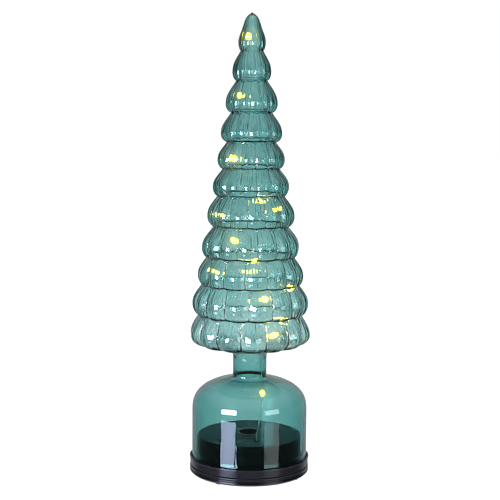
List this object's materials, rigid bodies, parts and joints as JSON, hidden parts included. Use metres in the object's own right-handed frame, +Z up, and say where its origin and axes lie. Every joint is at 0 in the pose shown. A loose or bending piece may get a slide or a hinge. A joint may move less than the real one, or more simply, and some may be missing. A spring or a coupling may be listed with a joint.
{
  "type": "tree lamp",
  "caption": "Battery table lamp: a tall fluted glass tree with a string of small lights inside, turning on a round black base.",
  "frame": {"origin": "on the spin axis, in the plane the rubber feet stand on", "axes": "+Z up along the tree, the pictured front looks along -Y, +X to its right"},
  "size_m": [0.1048, 0.1054, 0.4],
  "materials": {
    "teal_glass": "clear teal-tinted blown glass, fire polished",
    "black_abs": "injection moulded, semi-gloss",
    "grey_rubber": "moulded, matt",
    "white_acetal": "moulded, satin",
    "zinc_plated_steel": "zinc plated",
    "nickel_strip": "nickel plated spring strip",
    "copper_track": "bare copper",
    "green_board": "solder mask over glass-fibre board",
    "cell_jacket": "plain shrink sleeve",
    "lead_insulation": "extruded, smooth",
    "lacquered_wire": "clear lacquered fine copper wire",
    "warm_led_resin": "clear resin drop over a warm white LED"
  },
  "bodies": {
    "base": {"base_tray": "black_abs", "battery_cell_left": "cell_jacket", "battery_cell_right": "cell_jacket", "brush_block": "white_acetal", "brush_lead": "lead_insulation", "case_screw_1": "zinc_plated_steel", "case_screw_2": "zinc_plated_steel", "case_screw_3": "zinc_plated_steel", "case_screw_4": "zinc_plated_steel", "cell_link_lead": "lead_insulation", "contact_minus_left": "nickel_strip", "contact_minus_right": "nickel_strip", "contact_plus_left": "nickel_strip", "contact_plus_right": "nickel_strip", "control_board": "green_board", "gear_motor": "zinc_plated_steel", "glide_ring": "white_acetal", "inner_brush": "nickel_strip", "motor_housing": "black_abs", "motor_lead": "lead_insulation", "motor_screw_1": "zinc_plated_steel", "motor_screw_2": "zinc_plated_steel", "outer_brush": "nickel_strip", "rubber_foot_1": "grey_rubber", "rubber_foot_2": "grey_rubber", "rubber_foot_3": "grey_rubber", "rubber_foot_4": "grey_rubber", "supply_lead": "lead_insulation", "switch_body": "zinc_plated_steel"},
    "turntable": {"turntable_drum": "black_abs", "glass_tree": "teal_glass", "glass_gasket": "grey_rubber", "output_shaft": "zinc_plated_steel", "hub_washer": "zinc_plated_steel", "hub_screw": "zinc_plated_steel", "slip_ring_board": "green_board", "inner_slip_ring": "copper_track", "outer_slip_ring": "copper_track", "board_screw_1": "zinc_plated_steel", "board_screw_2": "zinc_plated_steel", "wire_grommet": "grey_rubber", "led_wire": "lacquered_wire", "led_bead_01": "warm_led_resin", "led_bead_02": "warm_led_resin", "led_bead_03": "warm_led_resin", "led_bead_04": "warm_led_resin", "led_bead_05": "warm_led_resin", "led_bead_06": "warm_led_resin", "led_bead_07": "warm_led_resin", "led_bead_08": "warm_led_resin", "led_bead_09": "warm_led_resin", "led_bead_10": "warm_led_resin", "led_bead_11": "warm_led_resin", "led_bead_12": "warm_led_resin", "led_bead_13": "warm_led_resin", "led_bead_14": "warm_led_resin", "led_bead_15": "warm_led_resin"},
    "battery_door": {"battery_door": "black_abs", "battery_door_screw": "zinc_plated_steel"},
    "switch_slider": {"switch_knob": "white_acetal"}
  },
  "joints": [
    {"name": "turntable_spin", "type": "hinge", "parent": "base", "child": "turntable", "pos_m": [0, 0, 0], "axis": [0, 0, 1], "continuous": true},
    {"name": "battery_door_hinge", "type": "hinge", "parent": "base", "child": "battery_door", "pos_m": [0, -0.028, 0.001], "axis": [-1, 0, 0], "range_deg": [0, 90]},
    {"name": "switch_slide", "type": "slide", "parent": "base", "child": "switch_slider", "axis": [1, 0, 0], "range_m": [-0.002, 0.002]}
  ]
}
